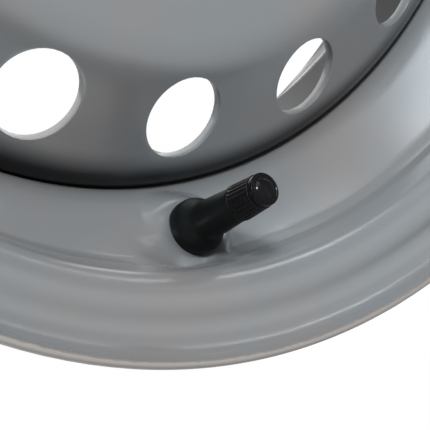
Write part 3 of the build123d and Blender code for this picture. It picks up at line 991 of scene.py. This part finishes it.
class OBJECT_OT_wheel_valve_body(bpy.types.Operator):
    """Turns the valve's rubber body"""

    bl_idname = "object.wheel_valve_body"
    bl_label = "Valve body"

    def execute(self, context):
        v, b = context.scene.wheel_valve, context.scene.wheel_barrel
        foot, lip = -b.sheet - v.foot_depth, v.body_top - v.lip_depth
        # The hollow that the brass stem fills: its bore, its shank and the flange at its foot
        bore, shank, flange = 1.6 * MM, 3.2 * MM, 4.6 * MM
        stem_foot, flange_top, thread_foot = -3.4 * MM, -2.2 * MM, v.stem_top - 9.0 * MM
        rows = [
            (bore, foot, 0),
            (v.foot_end, foot, 0.6 * MM),
            (v.foot_radius, -b.sheet - 1.7 * MM, 0.8 * MM),
            (v.foot_radius, -b.sheet, 0.25 * MM),
            (b.hole_radius, -b.sheet, CRISP),
            (b.hole_radius, -v.bulb_seat, CRISP),
            (v.bulb_radius - 0.3 * MM, -v.bulb_seat, 0.2 * MM),
            (v.bulb_radius - 0.25 * MM, -0.2 * MM, CRISP),
            (v.bulb_radius, 0.0, 0.15 * MM),
            (v.bulb_radius + 0.05 * MM, v.bulb_band + 1.9 * MM, 4.6 * MM),
            (v.neck_radius, v.bulb_top, 3.4 * MM),
            (v.top_radius, lip - 0.7 * MM, 0.8 * MM),
            (v.lip_radius, lip, 0.2 * MM),
            (v.lip_radius, v.body_top, 0.2 * MM),
            (v.thread_radius, v.body_top, CRISP),
            (v.thread_radius, thread_foot, CRISP),
            (shank, thread_foot, CRISP),
            (shank, flange_top, CRISP),
            (flange, flange_top, CRISP),
            (flange, stem_foot, CRISP),
            (bore, stem_foot, CRISP),
            (bore, foot + CRISP, 0),
        ]
        bm = bmesh.new()
        turn_section(bm, bent_section(rows, 1.2 * MM, 0.25 * MM), 96, closed=True)
        close_shell(bm)
        bmesh.ops.transform(bm, matrix=valve_place(b), verts=bm.verts[:])
        object_from(bm, "valve_rubber_body", "valve_rubber", "valve_body")
        return {"FINISHED"}


class OBJECT_OT_wheel_valve_cap(bpy.types.Operator):
    """Turns the ridged plastic cap"""

    bl_idname = "object.wheel_valve_cap"
    bl_label = "Valve cap"

    def execute(self, context):
        v, b = context.scene.wheel_valve, context.scene.wheel_barrel
        bore = v.thread_radius + 0.12 * MM
        ceiling = v.stem_top + 1.0 * MM
        shoulder = v.cap_radius - (v.cap_shoulder - v.body_top) * tan(v.cap_draft)
        collar_foot, collar_top = v.cap_shoulder + v.groove_width, v.cap_top - v.end_step
        dish = v.cap_top - v.dish_depth
        rows = [
            (0.0, ceiling, 0),
            (bore, ceiling, 0.1 * MM),
            (bore, v.body_top, 0.1 * MM),
            (v.cap_radius, v.body_top, 0.2 * MM),
            (shoulder, v.cap_shoulder, 0.3 * MM),
            (v.groove_radius, v.cap_shoulder, CRISP),
            (v.groove_radius, collar_foot, CRISP),
            (v.collar_radius, collar_foot, 0.12 * MM),
            (v.collar_radius - 0.04 * MM, collar_top, 0.16 * MM),
            (v.end_radius, collar_top, 0.06 * MM),
            (v.end_radius, v.cap_top, 0.16 * MM),
            (v.end_radius - v.end_rim, v.cap_top, 0.12 * MM),
            (v.end_radius - v.end_rim - 0.35 * MM, dish, 0.3 * MM),
            (v.dome_radius, dish + 0.85 * v.dome_height, 3.0 * MM),
            (0.0, dish + v.dome_height, 0),
        ]
        bm = bmesh.new()
        turn_section(bm, bent_section(rows, 0.45 * MM, 0.06 * MM), 8 * v.cap_ridges)
        # The ridges run between these levels, and stop at the groove's radius
        low, high = v.body_top + 0.5 * MM, v.cap_shoulder - 0.35 * MM
        for vert in bm.verts:
            radius = vert.co.xy.length
            on_skirt = v.body_top - TINY < vert.co.z < v.cap_shoulder + TINY
            if on_skirt and radius > bore + 0.3 * MM:
                wave = (0.5 + 0.5 * cos(v.cap_ridges * atan2(vert.co.y, vert.co.x))) ** 1.6
                inside = min(max((vert.co.z - low) / (0.3 * MM), 0), 1)
                inside *= min(max((high - vert.co.z) / (0.2 * MM), 0), 1)
                depth = v.ridge_height * wave * (0.25 + 0.75 * inside)
                reach = min((radius - v.groove_radius) / (0.5 * MM), 1.0)
                vert.co.xy *= 1 - depth * max(reach, 0) / radius
        close_shell(bm)
        bmesh.ops.transform(bm, matrix=valve_place(b), verts=bm.verts[:])
        object_from(bm, "valve_cap_shell", "cap_plastic", "valve_cap")
        return {"FINISHED"}


# Stage


def looking(place, aim):
    """Matrix of a camera or lamp that stands at a place and looks at an aim."""
    place, aim = Vector(place), Vector(aim)
    turn = (aim - place).to_track_quat("-Z", "Y").to_matrix().to_4x4()
    return Matrix.Translation(place) @ turn


def lamp(name, place, aim, width, height, power, tint=(1.0, 1.0, 1.0)):
    data = bpy.data.lights.new(name, "AREA")
    data.shape = "RECTANGLE"
    data.size, data.size_y = width, height
    data.energy, data.color = power, tint
    new_object(name, data).matrix_world = looking(place, aim)


def floor_finish(tree, finish):
    """Pale matt floor that the camera sees as white, with the object's shadow kept faint."""
    matt = add_node(tree, "BsdfDiffuse", Color=finish.floor)
    glow = add_node(tree, "Emission", Color=(1, 1, 1, 1), Strength=1.01)
    path = add_node(tree, "LightPath").node.outputs
    # Full white in the enamel's sheen would make the vents' walls too pale
    sheen = add_node(tree, "Math", operation="MULTIPLY", _0=path["Is Glossy Ray"], _1=0.35)
    shown = add_node(tree, "Math", operation="MAXIMUM", _0=path["Is Camera Ray"], _1=sheen)
    shown = add_node(tree, "Math", operation="MAXIMUM", _0=shown, _1=path["Is Transmission Ray"])
    part = add_node(tree, "Math", operation="MULTIPLY", _0=shown, _1=0.985)
    above = add_node(tree, "MixShader", _0=part, _1=matt, _2=glow)
    # Clear from below, for views of the inboard side
    behind = add_node(tree, "NewGeometry", "Backfacing")
    return add_node(tree, "MixShader", _0=behind, _1=above, _2=add_node(tree, "BsdfTransparent"))


def studio_light(tree, s):
    """White all round, with a dim gap in the ceiling that the sheen shows as a soft band."""
    place = add_node(tree, "TexCoord", "Generated")
    _, y, z = add_node(tree, "SeparateXYZ", Vector=place).node.outputs
    near, far = (y, s.gap_near + 0.1, s.gap_near), (y, s.gap_far - 0.15, s.gap_far)
    gap = where_all(tree, 1.0, near, far, (z, s.gap_low, s.gap_low + 0.2))
    room = add_node(
        tree,
        "MapRange",
        interpolation_type="SMOOTHSTEP",
        Value=z,
        From_Min=0.4,
        From_Max=0.75,
        To_Min=s.wall_light,
        To_Max=s.ceiling_light,
    )
    front = where_all(tree, s.front_light, (y, -0.6, -0.75))
    room = add_node(tree, "Math", operation="ADD", _0=room, _1=front)
    kept = add_node(tree, "Math", operation="SUBTRACT", _0=1.0, _1=gap)
    room = add_node(tree, "Math", operation="MULTIPLY", _0=room, _1=kept)
    path = add_node(tree, "LightPath").node.outputs
    card = add_node(tree, "Math", operation="MAXIMUM", _0=room, _1=path["Is Camera Ray"])
    shown = add_node(tree, "Background", Color=(1, 1, 1, 1), Strength=card)
    soft = add_node(tree, "Background", Color=(1, 1, 1, 1), Strength=s.room_light)
    seen = path["Is Camera Ray"]
    for ray in ("Is Glossy Ray", "Is Transmission Ray"):
        seen = add_node(tree, "Math", operation="MAXIMUM", _0=seen, _1=path[ray])
    return add_node(tree, "MixShader", _0=seen, _1=soft, _2=shown)


class OBJECT_OT_wheel_stage(bpy.types.Operator):
    """Makes the camera, the floor and the soft studio light"""

    bl_idname = "object.wheel_stage"
    bl_label = "Stage"

    def execute(self, context):
        s = context.scene.wheel_stage
        scene = context.scene
        data = bpy.data.cameras.new("camera")
        camera = new_object("camera", data)
        roll = Matrix.Rotation(s.camera_roll, 4, "Z")
        camera.matrix_world = looking(s.camera_place, s.camera_aim) @ roll
        data.lens, data.sensor_width = s.lens, s.sensor
        data.clip_start, data.clip_end = 0.01, 20
        scene.camera = camera
        scene.view_settings.view_transform = "Standard"

        low = cad_box[0].z
        bm = bmesh.new()
        bmesh.ops.create_grid(bm, x_segments=1, y_segments=1, size=3.0)
        bmesh.ops.translate(bm, verts=bm.verts[:], vec=(0, 0, low - 0.2 * MM))
        mesh = bpy.data.meshes.new("floor")
        bm.to_mesh(mesh)
        bm.free()
        floor = new_object("floor", mesh)
        paint = bpy.data.materials.new("floor")
        give_nodes(paint, "Material", floor_finish, scene.wheel_finish)
        mesh.materials.append(paint)

        lamp("key", s.key_place, s.lamp_aim, s.key_size, s.key_size, s.key_power)
        cool = (0.9, 0.95, 1.0)
        lamp("fill", s.fill_place, s.lamp_aim, s.fill_width, s.fill_height, s.fill_power, cool)
        foot, up = (0, 0, low + 1 * MM), (0, 0, 0.1)
        lamp("under", foot, up, s.under_size, s.under_size, s.under_power)
        scene.world = bpy.data.worlds.new("studio")
        give_nodes(scene.world, "World", studio_light, s)
        return {"FINISHED"}


class OBJECT_OT_wheel_cad_finish(bpy.types.Operator):
    """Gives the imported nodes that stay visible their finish"""

    bl_idname = "object.wheel_cad_finish"
    bl_label = "Finish of the packed nodes"

    def execute(self, context):
        slots = {part["node"]: part["material_slot"] for part in frame["record"]["subparts"]}
        for name, node in frame["nodes"].items():
            material = finish_for(slots[name])
            if node.data.materials:
                for index in range(len(node.data.materials)):
                    node.data.materials[index] = material
            else:
                node.data.materials.append(material)
        return {"FINISHED"}


class VIEW3D_PT_wheel(bpy.types.Panel):
    """Lists the steps that dress the wheel, and their sizes"""

    bl_label = "Trailer wheel"
    bl_idname = "VIEW3D_PT_wheel"
    bl_space_type = "VIEW_3D"
    bl_region_type = "UI"
    bl_category = "Wheel"

    def draw(self, context):
        for operator in STEPS:
            self.layout.operator(operator.bl_idname)
        for name, group in GROUPS.items():
            box = self.layout.box()
            for prop in group.__annotations__:
                box.prop(getattr(context.scene, name), prop)


STEPS = [
    OBJECT_OT_wheel_cad_finish,
    OBJECT_OT_wheel_barrel,
    OBJECT_OT_wheel_disc,
    OBJECT_OT_wheel_welds,
    OBJECT_OT_wheel_valve_body,
    OBJECT_OT_wheel_valve_cap,
    OBJECT_OT_wheel_stage,
]


def register():
    for name, group in GROUPS.items():
        bpy.utils.register_class(group)
        setattr(bpy.types.Scene, name, bpy.props.PointerProperty(type=group))
    for operator in STEPS:
        bpy.utils.register_class(operator)
    bpy.utils.register_class(VIEW3D_PT_wheel)


def unregister():
    bpy.utils.unregister_class(VIEW3D_PT_wheel)
    for operator in reversed(STEPS):
        bpy.utils.unregister_class(operator)
    for name, group in reversed(GROUPS.items()):
        delattr(bpy.types.Scene, name)
        bpy.utils.unregister_class(group)


def main():
    register()
    bpy.ops.object.wheel_cad_finish()
    bpy.ops.object.wheel_barrel()
    bpy.ops.object.wheel_disc()
    bpy.ops.object.wheel_welds()
    bpy.ops.object.wheel_valve_body()
    bpy.ops.object.wheel_valve_cap()
    bpy.ops.object.wheel_stage()


if __name__ == "__main__":
    main()
